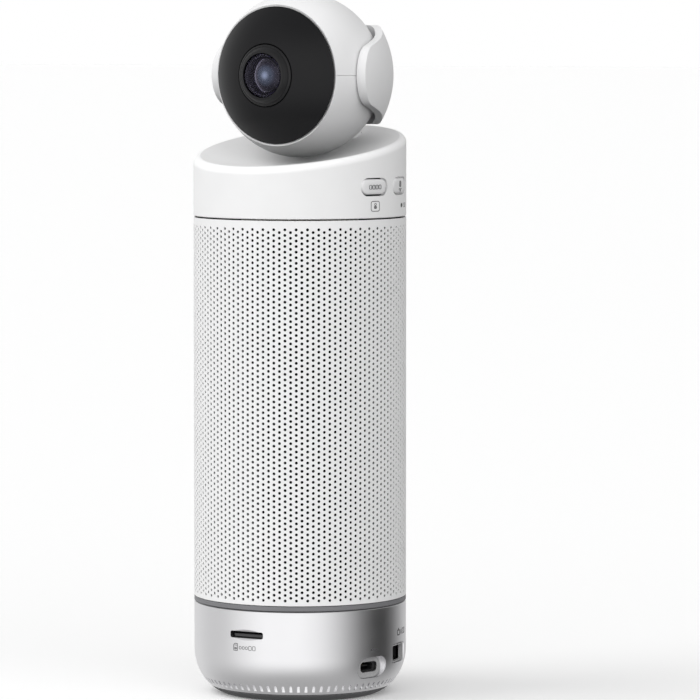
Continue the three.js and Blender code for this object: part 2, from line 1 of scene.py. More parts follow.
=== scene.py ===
# Looks for the pan-tilt conference camera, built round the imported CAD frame. Shapes are drawn in
# millimetres and become metres when a mesh is made. An azimuth is measured from the front (-Y) to +X.
import json
import math

import bmesh
import bpy
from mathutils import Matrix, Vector


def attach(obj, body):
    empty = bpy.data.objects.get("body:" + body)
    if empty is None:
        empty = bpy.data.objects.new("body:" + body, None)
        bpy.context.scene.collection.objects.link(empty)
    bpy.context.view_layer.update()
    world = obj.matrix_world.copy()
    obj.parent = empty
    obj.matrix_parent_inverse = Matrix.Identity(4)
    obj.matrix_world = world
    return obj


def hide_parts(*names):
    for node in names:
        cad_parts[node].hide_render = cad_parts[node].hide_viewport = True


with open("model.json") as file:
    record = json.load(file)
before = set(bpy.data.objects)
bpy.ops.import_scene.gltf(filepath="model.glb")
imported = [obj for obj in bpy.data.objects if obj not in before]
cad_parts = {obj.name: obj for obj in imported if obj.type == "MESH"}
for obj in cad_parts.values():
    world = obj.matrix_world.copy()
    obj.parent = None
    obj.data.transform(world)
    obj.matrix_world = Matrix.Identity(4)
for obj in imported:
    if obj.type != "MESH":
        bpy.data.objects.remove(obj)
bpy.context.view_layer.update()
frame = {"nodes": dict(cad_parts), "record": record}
nodes = frame["nodes"]
MM = 0.001

# ---- sizes, in millimetres and degrees ----
BODY_R = 45.0
WALL = 2.4  # thickness of the base's shell
FOOT_TOP, BASE_LOW, BASE_TOP = 3.0, 3.3, 38.9
ROUND_R, ROUND_Z, ROUND_A, ROUND_B = 27.7, 18.7, 17.3, 19.6  # the quarter ellipse under the base's wall
PLATE_LOW, PLATE_TOP, PLATE_R = 3.3, 5.6, 34.4
SCREW_AT, SCREW_RING = (45, 135, 225, 315), 21.0
GRILLE_LOW, GRILLE_TOP = 41.5, 201.8
CAP_LOW, RIM_Z, SLOPE, FILLET = 202.4, 232.0, 0.1864, 3.0
CAP_BORE, CAP_SHEET = 42.6, 2.6  # the cap's inner radius, and the thickness of its top
DISH_R, DISH_DEPTH = 42.0, 6.8
BUTTONS = {"mode": 76.9, "mute": 102.2}
BUTTON_W, BUTTON_H, BUTTON_Z = 14.8, 6.6, 215.4
LIGHT_AZ, LIGHT_Z = 104.4, 207.2
USB_AZ, USB_Z = 75.8, 14.1
USB_HOLE = (9.5, 4.3, 1.7)  # width, height and corner of the hole in the pocket's floor
POCKET_W, POCKET_H, POCKET_FLOOR = 16.6, 9.2, 41.9
NET_AZ, NET_Z = 101.0, 18.3
CARD_AZ, CARD_Z = 2.3, 28.7
NECK_Y = 32.4  # the yoke's neck stands this far behind the pan axis
BALL_Z, BALL_R = 261.65, 34.8
FACE_PLANE = 18.3  # where the ball is cut for the black face, in front of its middle
DOME_R, DOME_APEX = 45.7, 29.1
GROOVE_R = 13.2


# ---- mesh tools ----
def arc(cx, cy, radius, start, end, count):
    """Points on a circle, by angle in degrees."""
    out = []
    for i in range(count + 1):
        t = math.radians(start + (end - start) * i / count)
        out.append((cx + radius * math.cos(t), cy + radius * math.sin(t)))
    return out


def lathe(profile, count, closed=True):
    """Turns (r, z) points about Z. A point with r = 0 becomes one vertex; closed joins last to first."""
    verts, rows = [], []
    for r, z in profile:
        if r < 1e-6:
            rows.append([len(verts)] * count)
            verts.append((0.0, 0.0, z))
            continue
        rows.append(list(range(len(verts), len(verts) + count)))
        for j in range(count):
            t = 2 * math.pi * j / count
            verts.append((r * math.sin(t), -r * math.cos(t), z))
    faces = []
    pairs = list(zip(rows, rows[1:]))
    if closed:
        pairs.append((rows[-1], rows[0]))
    for low, high in pairs:
        for j in range(count):
            k = (j + 1) % count
            quad = [low[j], low[k], high[k], high[j]]
            face = [v for i, v in enumerate(quad) if v not in quad[:i]]
            if len(face) > 2:
                faces.append(face)
    return verts, faces


def joined(*parts):
    """Several parts as one list of vertices and faces."""
    verts, faces = [], []
    for part_verts, part_faces in parts:
        base = len(verts)
        verts += part_verts
        faces += [[v + base for v in face] for face in part_faces]
    return verts, faces


def moved(part, where):
    """A part with each vertex put where a function says."""
    verts, faces = part
    return [tuple(where(Vector(v))) for v in verts], faces


def to_front(part):
    """Lays a shape drawn about +Z along the lens axis, -Y."""
    return moved(part, lambda v: (v.x, -v.z, v.y + BALL_Z))


def place(azimuth, u, z, out):
    """A point u to the right of an azimuth's direction, seen from outside, at a height and a depth."""
    t = math.radians(azimuth)
    return (out * math.sin(t) + u * math.cos(t), -out * math.cos(t) + u * math.sin(t), z)


def rounded(width, height, corner, count=10):
    """A rectangle with rounded corners, anticlockwise."""
    x, y = width / 2 - corner, height / 2 - corner
    out = arc(x, -y, corner, -90, 0, count) + arc(x, y, corner, 0, 90, count)
    return out + arc(-x, y, corner, 90, 180, count) + arc(-x, -y, corner, 180, 270, count)


def cylinder(radius, low, high, count):
    return lathe([(0, low), (radius, low), (radius, high), (0, high)], count, closed=False)


def trunnion_bore(radius, near, far, azimuth):
    """A cylinder on the tilt axis, on the side of an azimuth."""
    return moved(cylinder(radius, near, far, 48), lambda v: place(azimuth, v.x, BALL_Z + v.y, v.z))


def shifted(outline, du, dv):
    return [(u + du, v + dv) for u, v in outline]


def loft(loops, ends=True, ring=False):
    """Joins loops of 3-D points of equal length with quads, and closes the ends, or joins them in a ring."""
    count = len(loops[0])
    verts = [p for loop in loops for p in loop]
    faces = []
    pairs = list(zip(range(len(loops)), range(1, len(loops))))
    if ring:
        pairs.append((len(loops) - 1, 0))
    for a, b in pairs:
        for j in range(count):
            k = (j + 1) % count
            faces.append([a * count + j, a * count + k, b * count + k, b * count + j])
    if ends and not ring:
        faces.append(list(range(count))[::-1])
        last = (len(loops) - 1) * count
        faces.append(list(range(last, last + count)))
    return verts, faces


def prism(outline, azimuth, z, outs, grows=None):
    """An outline in (u, v) lofted outwards through the distances in outs, and grown a little at each."""
    grows = grows or [0.0] * len(outs)
    loops = []
    for out, grow in zip(outs, grows):
        loop = []
        for u, v in offset(outline, grow):
            loop.append(place(azimuth, u, z + v, out))
        loops.append(loop)
    return loft(loops)


def offset(outline, grow):
    """Moves a convex outline out by grow along its corners' normals."""
    if not grow:
        return outline
    count = len(outline)
    out = []
    for i in range(count):
        (ax, ay), (bx, by), (cx, cy) = outline[i - 1], outline[i], outline[(i + 1) % count]
        n = Vector((by - ay, ax - bx)).normalized() + Vector((cy - by, bx - cx)).normalized()
        n = n.normalized() if n.length > 1e-9 else Vector((0, 0))
        out.append((bx + n.x * grow, by + n.y * grow))
    return out


def mesh_object(name, part):
    """A new object in the scene from a part in millimetres."""
    verts, faces = part
    mesh = bpy.data.meshes.new(name)
    mesh.from_pydata([(x * MM, y * MM, z * MM) for x, y, z in verts], [], faces)
    obj = bpy.data.objects.new(name, mesh)
    bpy.context.scene.collection.objects.link(obj)
    bm = bmesh.new()
    bm.from_mesh(mesh)
    bmesh.ops.remove_doubles(bm, verts=bm.verts, dist=1e-7)
    bmesh.ops.recalc_face_normals(bm, faces=bm.faces)
    bm.to_mesh(mesh)
    bm.free()
    return obj


def bake_modifiers(obj):
    """Makes the modified mesh the object's own."""
    bpy.context.view_layer.update()
    graph = bpy.context.evaluated_depsgraph_get()
    mesh = bpy.data.meshes.new_from_object(obj.evaluated_get(graph))
    old = obj.data
    obj.modifiers.clear()
    obj.data = mesh
    bpy.data.meshes.remove(old)
    mesh.name = obj.name


def boolean(obj, part, operation="DIFFERENCE"):
    """Cuts a part out of an object, or joins it on."""
    tool = mesh_object(obj.name + "_tool", part)
    mod = obj.modifiers.new("cut", "BOOLEAN")
    mod.operation = operation
    mod.solver = "EXACT"
    mod.object = tool
    bake_modifiers(obj)
    bpy.data.objects.remove(tool)


def shade(obj, angle=32, normal=None, limit=0.93):
    """Smooth shading with sharp edges; normal gives exact normals where a face is close to them."""
    mesh = obj.data
    bm = bmesh.new()
    bm.from_mesh(mesh)
    for edge in bm.edges:
        edge.smooth = len(edge.link_faces) == 2 and edge.calc_face_angle(0) < math.radians(angle)
    for face in bm.faces:
        face.smooth = True
    bm.to_mesh(mesh)
    bm.free()
    if not normal:
        return
    vectors = [c.vector.copy() for c in mesh.corner_normals]
    for poly in mesh.polygons:
        for i in poly.loop_indices:
            exact = normal(mesh.vertices[mesh.loops[i].vertex_index].co / MM)
            if exact is not None and poly.normal.dot(exact) > limit:
                vectors[i] = exact
    mesh.normals_split_custom_set(vectors)


def piece(obj, body, mat, replaces=(), angle=32, normal=None, limit=0.93):
    """Finishes a visible piece: its material, shading, body and the CAD nodes it stands in for."""
    obj.data.materials.clear()
    obj.data.materials.append(mat)
    shade(obj, angle, normal, limit)
    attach(obj, body)
    if replaces:
        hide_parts(*replaces)


def bevelled(obj, width, segments, angle):
    """Rounds every edge that is sharper than an angle."""
    mod = obj.modifiers.new("edge", "BEVEL")
    mod.width = width * MM
    mod.segments = segments
    mod.limit_method = "ANGLE"
    mod.angle_limit = math.radians(angle)
    mod.harden_normals = False
    bake_modifiers(obj)


# ---- materials ----
def material(name, color, rough, metallic=0.0, grain=0.3, depth=0.004, tint=0.04, spread=0.06, **sockets):
    """A shader with fine grain (bump of that size and depth in mm), and slow colour and gloss variation."""
    mat = bpy.data.materials.new(name)
    mat.use_nodes = True
    tree = mat.node_tree
    links = tree.links
    shader = tree.nodes["Principled BSDF"]
    coords = tree.nodes.new("ShaderNodeTexCoord")
    shader.inputs["Metallic"].default_value = metallic
    for socket, value in sockets.items():
        shader.inputs[socket.replace("_", " ")].default_value = value

    def noise(size_mm, detail=2.0):
        node = tree.nodes.new("ShaderNodeTexNoise")
        node.inputs["Scale"].default_value = 1 / (size_mm * MM)
        node.inputs["Detail"].default_value = detail
        links.new(coords.outputs["Object"], node.inputs["Vector"])
        return node.outputs["Fac"]

    ramp = tree.nodes.new("ShaderNodeValToRGB")
    dark = [c * (1 - tint) for c in color]
    light = [min(1, c * (1 + tint)) for c in color]
    ramp.color_ramp.elements[0].position, ramp.color_ramp.elements[1].position = 0.3, 0.7
    ramp.color_ramp.elements[0].color = (*dark, 1)
    ramp.color_ramp.elements[1].color = (*light, 1)
    links.new(noise(14, 4), ramp.inputs["Fac"])
    links.new(ramp.outputs["Color"], shader.inputs["Base Color"])
    gloss = tree.nodes.new("ShaderNodeMapRange")
    gloss.inputs["To Min"].default_value = max(0.02, rough - spread)
    gloss.inputs["To Max"].default_value = min(1, rough + spread)
    links.new(noise(6, 5), gloss.inputs["Value"])
    links.new(gloss.outputs["Result"], shader.inputs["Roughness"])
    if depth:
        bump = tree.nodes.new("ShaderNodeBump")
        bump.inputs["Distance"].default_value = depth * MM
        links.new(noise(grain, 3), bump.inputs["Height"])
        links.new(bump.outputs["Normal"], shader.inputs["Normal"])
    return mat


WHITE = material("white_shell", (0.83, 0.83, 0.835), 0.42, grain=0.25, depth=0.004, tint=0.01)
CAP_WHITE = material("white_cap", (0.92, 0.92, 0.922), 0.5, grain=0.25, depth=0.005, tint=0.01)
PAINT = material("white_grille_paint", (0.91, 0.91, 0.912), 0.45, grain=0.2, depth=0.003, tint=0.012)
ALU = material(
    "satin_aluminium", (0.785, 0.782, 0.795), 0.3, 1.0, grain=0.09, depth=0.0015, tint=0.012, spread=0.03
)
RING = material("grey_ring", (0.2, 0.2, 0.21), 0.5, grain=0.3, depth=0.003)
BLACK_FACE = material(
    "black_face", (0.006, 0.006, 0.007), 0.3, grain=2.0, depth=0.0, spread=0.03, Specular_IOR_Level=0.22
)
BLACK = material("black_plastic", (0.012, 0.012, 0.013), 0.5, grain=0.3, depth=0.006)
LENS_BLACK = material(
    "lens_black", (0.008, 0.008, 0.009), 0.34, grain=0.2, depth=0.002, Specular_IOR_Level=0.32
)
TRIM_GREY = material("trim_grey", (0.45, 0.45, 0.455), 0.45, grain=0.3, depth=0.003)
SEAT_GREY = material("seat_grey", (0.4, 0.4, 0.405), 0.4, grain=0.3, depth=0.002)
BAR_GREY = material("reader_grey", (0.05, 0.05, 0.052), 0.45, grain=0.3, depth=0.003)
RUBBER = material("foot_rubber", (0.17, 0.17, 0.175), 0.75, grain=0.35, depth=0.02)
CLOTH = material("acoustic_cloth", (0.006, 0.006, 0.006), 0.95, grain=0.25, depth=0.05)
STEEL = material("steel", (0.55, 0.56, 0.58), 0.3, 1.0, grain=0.2, depth=0.002)
# steel darkened to paint the shade inside the USB-C socket
STEEL_PAINTED_SHADE = material("steel_painted_shade", (0.12, 0.12, 0.13), 0.4, 1.0, grain=0.2, depth=0.002)
GOLD = material("gold_contact", (0.85, 0.6, 0.22), 0.25, 1.0, grain=0.2, depth=0.001)
BRASS = material("brass", (0.72, 0.5, 0.2), 0.3, 1.0, grain=0.2, depth=0.002)
NYLON = material("nylon", (0.75, 0.72, 0.62), 0.5, grain=0.4, depth=0.004)
BOARD = material("circuit_board", (0.012, 0.03, 0.02), 0.45, grain=0.8, depth=0.01, tint=0.2)
PAPER = material("speaker_cone", (0.03, 0.03, 0.03), 0.9, grain=0.5, depth=0.03)
INK = material("print_ink", (0.09, 0.09, 0.095), 0.55, grain=0.2, depth=0.001)
PALE_INK = material("pale_print_ink", (0.2, 0.2, 0.205), 0.5, grain=0.2, depth=0.001)
BAFFLE = material("lens_baffle", (0.003, 0.003, 0.004), 0.7, grain=0.3, depth=0.002, Specular_IOR_Level=0.05)


def clear_glass(name, tint, rough, index):
    """Thin coated glass: clear, with a tinted reflection that grows towards its edge."""
    mat = material(name, tint, rough, grain=3, depth=0, tint=0.05, spread=0.01)
    tree = mat.node_tree
    old = tree.nodes["Principled BSDF"]
    shine = tree.nodes.new("ShaderNodeBsdfGlossy")
    for source, target in (("Base Color", "Color"), ("Roughness", "Roughness")):
        tree.links.new(old.inputs[source].links[0].from_socket, shine.inputs[target])
    clear = tree.nodes.new("ShaderNodeBsdfTransparent")
    edge = tree.nodes.new("ShaderNodeFresnel")
    edge.inputs["IOR"].default_value = index
    mix = tree.nodes.new("ShaderNodeMixShader")
    tree.links.new(edge.outputs[0], mix.inputs[0])
    tree.links.new(clear.outputs[0], mix.inputs[1])
    tree.links.new(shine.outputs[0], mix.inputs[2])
    tree.links.new(mix.outputs[0], tree.nodes["Material Output"].inputs["Surface"])
    tree.nodes.remove(old)
    return mat


def lens_element_painted_highlight(name):
    """A dark lens element with a painted pale blue highlight at its middle, across the part's own bounds."""
    mat = material(name, (0.01, 0.01, 0.015), 0.2, grain=3, depth=0, spread=0.02, Specular_IOR_Level=0.04)
    tree = mat.node_tree
    links = tree.links
    shader = tree.nodes["Principled BSDF"]
    shader.inputs["Specular Tint"].default_value = (0.5, 0.6, 1.0, 1.0)
    flat = tree.nodes.new("ShaderNodeVectorMath")
    flat.operation = "MULTIPLY_ADD"
    flat.inputs[1].default_value = (2, 0, 2)
    flat.inputs[2].default_value = (-1, 0, -1)
    links.new(tree.nodes["Texture Coordinate"].outputs["Generated"], flat.inputs[0])
    away = tree.nodes.new("ShaderNodeVectorMath")
    away.operation = "LENGTH"
    links.new(flat.outputs[0], away.inputs[0])
    # painted highlight: the base colour is pale blue at the element's middle and fades to near black at its
    # edge
    painted_highlight = tree.nodes.new("ShaderNodeValToRGB")
    painted_highlight.color_ramp.interpolation = "EASE"
    stops = painted_highlight.color_ramp.elements
    stops[0].position, stops[0].color = 0.0, (0.26, 0.31, 0.45, 1)
    stops[1].position, stops[1].color = 0.62, (0.004, 0.004, 0.008, 1)
    middle = stops.new(0.32)
    middle.color = (0.04, 0.055, 0.085, 1)
    links.new(away.outputs["Value"], painted_highlight.inputs["Fac"])
    links.new(painted_highlight.outputs["Color"], shader.inputs["Base Color"])
    return mat


GLASS = clear_glass("lens_glass", (0.56, 0.53, 0.7), 0.03, 1.4)
# the lens material whose bright middle is a painted highlight in its base colour
PAINTED_HIGHLIGHT_LENS = lens_element_painted_highlight("lens_element_painted_highlight")

CAD_LOOKS = {
    "matte_black": BLACK, "circuit_board": BOARD, "aluminium_satin": ALU, "steel": STEEL, "nylon": NYLON,
    "brass": BRASS, "cloth_black": CLOTH, "paper_cone": PAPER, "rubber_grey": RUBBER, "white_shell": WHITE,
    "lens_glass": PAINTED_HIGHLIGHT_LENS, "gloss_black": BLACK_FACE, "ring_grey": RING, "white_grille": PAINT,
}
for entry in frame["record"]["subparts"]:
    node = nodes[entry["node"]]
    node.data.materials.clear()
    node.data.materials.append(CAD_LOOKS[entry["material_slot"]])


# ---- foot and base ----
def base_r(z, inset=0.0):
    """The base's outer radius at a height, or its inner radius with the wall as inset."""
    drop = max(0.0, ROUND_Z - z) / (ROUND_B - inset)
    return ROUND_R + (ROUND_A - inset) * math.sqrt(max(0.0, 1 - drop * drop))


def spread_values(low, high, count):
    """Evenly spaced values from low to high, both of them included."""
    return [low + (high - low) * i / count for i in range(count + 1)]


foot = [(25.0, 0.4), (25.4, 0.0)]
for groove in (27.0, 29.2):
    foot += [(groove, 0.0), (groove + 0.3, 0.5), (groove + 0.9, 0.5), (groove + 1.2, 0.0)]
foot += [(base_r(0.0) - 0.3, 0.0)] + [(base_r(z), z) for z in spread_values(0.15, FOOT_TOP - 0.15, 10)]
foot += [(base_r(FOOT_TOP) - 0.25, FOOT_TOP), (25.0, FOOT_TOP)]
piece(mesh_object("rubber_foot", lathe(foot, 192)), "body", RUBBER, ["foot_pad"])

plate = [(0, PLATE_TOP), (0, PLATE_LOW + 0.6), (9, PLATE_LOW + 0.6), (9.4, PLATE_LOW), (23, PLATE_LOW)]
plate += [(23.3, PLATE_LOW + 0.3), (PLATE_R - 0.3, PLATE_LOW + 0.3), (PLATE_R, PLATE_LOW + 0.6)]
plate += [(PLATE_R, PLATE_TOP)]
bottom = mesh_object("underside_plate", lathe(plate, 128, closed=False))
for azimuth in SCREW_AT:
    x, y, _ = place(azimuth, 0, 0, SCREW_RING)
    boolean(bottom, moved(cylinder(1.5, 0, 9, 32), lambda v: (v.x + x, v.y + y, v.z)))
piece(bottom, "body", BLACK, ["bottom_plate"])


def screw_part(azimuth, radius, head, shank, head_r, shank_r):
    """A pan-head screw with a six-lobed recess; head and shank are heights, the head's crown first."""
    crown, seat = head
    flip = 1 if crown < seat else -1
    x, y, _ = place(azimuth, 0, 0, radius)
    angles = [2 * math.pi * i / 36 for i in range(36)]
    lobes = []
    for t in angles:
        r = head_r * (0.42 + 0.07 * math.cos(6 * t))
        lobes.append((r * math.cos(t), r * math.sin(t)))

    def ring(r, z):
        return [(x + r * math.cos(t), y + r * math.sin(t), z) for t in angles]

    recess = 0.55 * (seat - crown)
    loops = [
        [(x + u, y + v, crown + recess) for u, v in lobes],
        [(x + u, y + v, crown + 0.05 * flip) for u, v in lobes],
        ring(head_r * 0.56, crown),
        ring(head_r * 0.8, crown + 0.1 * (seat - crown)),
        ring(head_r * 0.97, crown + 0.45 * (seat - crown)),
        ring(head_r, seat - 0.1 * flip),
        ring(head_r * 0.98, seat),
        ring(shank_r, seat + 0.02 * flip),
        ring(shank_r, shank - 0.4 * flip),
        ring(shank_r * 0.7, shank),
    ]
    return loft(loops)


for i, azimuth in enumerate(SCREW_AT, 1):
    made = mesh_object(f"foot_screw_{i}", screw_part(azimuth, SCREW_RING, (2.0, 3.0), 14.0, 2.6, 1.2))
    piece(made, "body", STEEL, [f"base_screw_{i}"])

low_edge = [(base_r(z), z) for z in spread_values(BASE_LOW + 0.15, ROUND_Z, 30)]
inner_edge = [(base_r(z, WALL), z) for z in spread_values(ROUND_Z, 5.9, 16)]
shell = [(34.7, BASE_LOW), (base_r(BASE_LOW) - 0.2, BASE_LOW), *low_edge]
shell += [(BODY_R, BASE_TOP - 0.3), (BODY_R - 0.3, BASE_TOP), (BODY_R - WALL, BASE_TOP)]
shell += [*inner_edge, (34.7, 5.9)]
base = mesh_object("metal_base", lathe(shell, 240))
pocket_outline = rounded(POCKET_W, POCKET_H, POCKET_H / 2 - 0.01, 14)
boss_outline = rounded(19.6, 12.2, 6.09, 12)
boss = [[place(USB_AZ, u, USB_Z + v, 39.6) for u, v in boss_outline]]
for part in (1.0, 0.8, 0.6, 0.4, 0.2):
    loop = []
    for u, v in boss_outline:
        u, v = u * part, v * part
        wall = math.sqrt(base_r(USB_Z + v) ** 2 - u * u)
        loop.append(place(USB_AZ, u, USB_Z + v, wall - 0.2))
    boss.append(loop)
boolean(base, loft(boss), "UNION")
boolean(base, prism(pocket_outline, USB_AZ, USB_Z, [POCKET_FLOOR, 42.8, 50]))
boolean(base, prism(rounded(*USB_HOLE, 12), USB_AZ, USB_Z, [36, 41.7, 42.4], [0, 0, 0.4]))
boolean(base, prism(rounded(15.8, 2.9, 0.9, 8), CARD_AZ, CARD_Z, [38, 44.6, 45.6], [0, 0, 2.0]))
boolean(base, prism(rounded(12.7, 7.3, 0.8, 6), NET_AZ, NET_Z, [35, 43.6, 46], [0, 0, 1.3]))
vents = []
VENT_COUNT, VENT_Z, VENT_W, VENT_H, VENT_FLOOR = 80, 5.9, 1.15, 3.0, 39.7
for i in range(VENT_COUNT):
    loops = []
    for inner in (True, False):
        loop = []
        for u, v in rounded(VENT_W, VENT_H, 0.5, 4):
            narrow = 1 - 0.22 * v / VENT_H
            loop.append(place(i * 360 / VENT_COUNT, u * narrow, VENT_Z + v, VENT_FLOOR if inner else 44.0))
        loops.append(loop)
    vents.append(loft(loops))
boolean(base, joined(*vents))


def base_normal(p):
    r = math.hypot(p.x, p.y)
    if r < base_r(p.z) - 0.02 or p.z < BASE_LOW + 0.1 or p.z > BASE_TOP - 0.25:
        return None
    lift = min(0.0, p.z - ROUND_Z) / ROUND_B**2
    n = Vector((p.x / r * (r - ROUND_R) / ROUND_A**2, p.y / r * (r - ROUND_R) / ROUND_A**2, lift))
    return n.normalized()


piece(base, "body", ALU, ["base_shell"], 25, base_normal)

ring_profile = [(40.6, 34.0), (42.3, 34.0), (42.3, 39.2), (BODY_R - 0.2, 39.2), (BODY_R, 39.4)]
ring_profile += [(BODY_R, 41.0), (BODY_R - 0.2, 41.2), (40.6, 41.2)]
piece(mesh_object("diffuser_ring", lathe(ring_profile, 240)), "body", RING, ["light_ring"])


# ---- sockets ----
def cup(outline, wall, azimuth, z, front, back):
    """A thin cup along an azimuth, with a rounded lip at the front and a floor at the back."""
    outs = [back, front - 0.15, front, front, front - 0.15, back + 0.4]
    return prism(outline, azimuth, z, outs, [0, 0, -0.08, -wall + 0.08, -wall, -wall])


def sleeve(outline, wall, azimuth, z, front, back):
    """A thin open frame along an azimuth, just inside an outline."""
    spec = [(back, 0), (front, 0), (front, -wall), (back, -wall)]
    loops = []
    for out, grow in spec:
        loops.append([place(azimuth, u, z + v, out) for u, v in offset(outline, grow)])
    return loft(loops, ring=True)


# the shell's darkened steel is painted shade for the inside of the socket
usb = mesh_object("usb_c_shell", cup(rounded(9.2, 3.5, 1.7, 12), 0.3, USB_AZ, USB_Z, 38.9, 33))
piece(usb, "body", STEEL_PAINTED_SHADE, ["usb_c_socket"])
seat_outline = shifted(rounded(14.6, 8.6, 4.29, 14), -0.7, 0)
seat = mesh_object("usb_c_seat", prism(seat_outline, USB_AZ, USB_Z, [41.7, POCKET_FLOOR + 0.08]))
boolean(seat, prism(rounded(*USB_HOLE, 12), USB_AZ, USB_Z, [41, 41.8, 42.4], [0, 0, 0.5]))
piece(seat, "body", SEAT_GREY)
tongue = joined(
    prism(rounded(6.6, 0.7, 0.2, 4), USB_AZ, USB_Z, [33.2, 37.4, 37.6], [0, 0, -0.15]),
    sleeve(rounded(9.45, 4.25, 1.7, 12), 0.5, USB_AZ, USB_Z, 39.5, 38.95),
)
piece(mesh_object("usb_c_tongue", tongue), "body", BLACK)
pads = []
for side in (1, -1):
    for i in range(12):
        pad = shifted(rounded(0.3, 0.06, 0.02, 1), (i - 5.5) * 0.5, side * 0.37)
        pads.append(prism(pad, USB_AZ, USB_Z, [34.6, 36.6]))
piece(mesh_object("usb_c_contacts", joined(*pads)), "body", GOLD)

trim = sleeve(rounded(12.6, 7.2, 0.75, 6), 0.35, NET_AZ, NET_Z, 44.2, 42.3)
piece(mesh_object("network_trim", trim), "body", TRIM_GREY)
housing = shifted(rounded(15, 12.5, 0.4, 4), 0, 0.25)
net = mesh_object("network_housing", prism(housing, NET_AZ, NET_Z, [22, 40.8]))
boolean(net, prism(rounded(11.7, 6.7, 0.3, 4), NET_AZ, NET_Z, [27.5, 45]))
latch = shifted(rounded(6.2, 1.4, 0.3, 3), 0, -3.9)
boolean(net, prism(latch, NET_AZ, NET_Z, [28.5, 45]))
piece(net, "body", BLACK, ["network_socket"])
pins = []
pin_side = [(39.6, 3.0), (39.6, 2.6), (33, 0.4), (31, 0.3), (31, 0.6), (33, 0.8)]
for i in range(8):
    u = (i - 3.5) * 1.02
    pins.append(loft([[place(NET_AZ, u + w, NET_Z + v, out) for out, v in pin_side] for w in (-0.22, 0.22)]))
piece(mesh_object("network_contacts", joined(*pins)), "body", GOLD)

reader = shifted(rounded(18, 4.9, 0.4, 4), 0, 0.55)
card = mesh_object("card_reader", prism(reader, CARD_AZ, CARD_Z, [26, 41.2]))
boolean(card, prism(rounded(15.4, 2.4, 0.3, 4), CARD_AZ, CARD_Z, [28, 45]))
piece(card, "body", BLACK, ["card_socket"])
bar = prism(rounded(14.0, 1.3, 0.3, 5), CARD_AZ, CARD_Z - 0.45, [37.5, 42.3, 42.5], [0, 0, -0.15])
piece(mesh_object("card_reader_bar", bar), "body", BAR_GREY)


# ---- perforated grille, in two halves so that each keeps all of its faces when exported ----
COLUMNS, ROWS, HOLE_R, ROW, SHEET = 120, 67, 0.64, 2.305, 0.45
FIELD_LOW, FIELD_TURN = 42.55, math.radians(0.6)


def radial(p):
    return Vector((p.x, p.y, 0)).normalized()


def grille_half(first):
    """Half of the sheet: one eight-sided hole in each cell, in columns that are staggered by half a row."""
    pitch = 2 * math.pi / COLUMNS
    verts, faces, index = [], [], {}

    def vert(angle_step, z, inner, key):
        key = (key, inner)
        if key not in index:
            r = BODY_R - (SHEET if inner else 0.0)
            t = angle_step * pitch + FIELD_TURN
            index[key] = len(verts)
            verts.append((r * math.sin(t), -r * math.cos(t), z))
        return index[key]

    def edge_point(c2, k2, inner):
        """A point on the half-cell grid: c2 half columns round and k2 half rows up."""
        return vert(c2 / 2, FIELD_LOW + k2 * ROW / 2, inner, (c2, k2))

    for c in range(first, first + COLUMNS // 2):
        shift = c % 2
        rows = ROWS + 1 - shift
        c2 = 2 * c
        for k in range(rows):
            k2 = 2 * k + shift
            border = [(c2 + 1, k2), (c2 + 1, k2 + 1), (c2 + 1, k2 + 2), (c2, k2 + 2)]
            border += [(c2 - 1, k2 + 2), (c2 - 1, k2 + 1), (c2 - 1, k2), (c2, k2)]
            centre_z = FIELD_LOW + (k2 + 1) * ROW / 2
            hole = {}
            for inner in (False, True):
                hole[inner] = []
                for i in range(8):
                    t = math.radians(-45 + 45 * i)
                    step = c + HOLE_R * math.cos(t) / (BODY_R * pitch)
                    hole[inner].append(vert(step, centre_z + HOLE_R * math.sin(t), inner, ("hole", c, k, i)))
                ring = [edge_point(a, b, inner) for a, b in border]
                for i in range(8):
                    j = (i + 1) % 8
                    quad = [ring[i], ring[j], hole[inner][j], hole[inner][i]]
                    faces.append(quad[::-1] if inner else quad)
            for i in range(8):
                j = (i + 1) % 8
                faces.append([hole[False][i], hole[False][j], hole[True][j], hole[True][i]])
        for low in (True, False):
            k2 = shift if low else 2 * rows + shift
            z_end = GRILLE_LOW if low else GRILLE_TOP
            for a in (c2 - 1, c2):
                edge = {}
                for inner in (False, True):
                    near = [edge_point(a, k2, inner), edge_point(a + 1, k2, inner)]
                    far = [vert(s / 2, z_end, inner, ("end", low, s)) for s in (a, a + 1)]
                    edge[inner] = far
                    quad = [near[0], near[1], far[1], far[0]]
                    faces.append(quad if inner == low else quad[::-1])
                quad = [edge[False][0], edge[False][1], edge[True][1], edge[True][0]]
                faces.append(quad[::-1] if low else quad)
    # the two straight sides, where the halves meet
    for c2 in (2 * first - 1, 2 * (first + COLUMNS // 2) - 1):
        keys = sorted(k for k in index if len(k[0]) == 2 and k[0][0] == c2 and not k[1])
        column = [("end", True, c2)] + [k[0] for k in keys] + [("end", False, c2)]
        for a, b in zip(column, column[1:]):
            quad = [index[(a, False)], index[(b, False)], index[(b, True)], index[(a, True)]]
            faces.append(quad)
    return verts, faces


def grille_normal(p):
    r = math.hypot(p.x, p.y)
    return radial(p) if r > BODY_R - 0.05 else -radial(p)


for name, first in (("grille_front", -COLUMNS // 4), ("grille_back", COLUMNS // 4)):
    half = mesh_object(name, grille_half(first))
    replaced = ["grille"] if name == "grille_front" else []
    piece(half, "body", PAINT, replaced, 25, grille_normal, 0.98)


# ---- cap ----
def dish_z(r):
    """The height of the dished top, before it is slanted."""
    return RIM_Z - DISH_DEPTH * (1 - (r / DISH_R) ** 2)


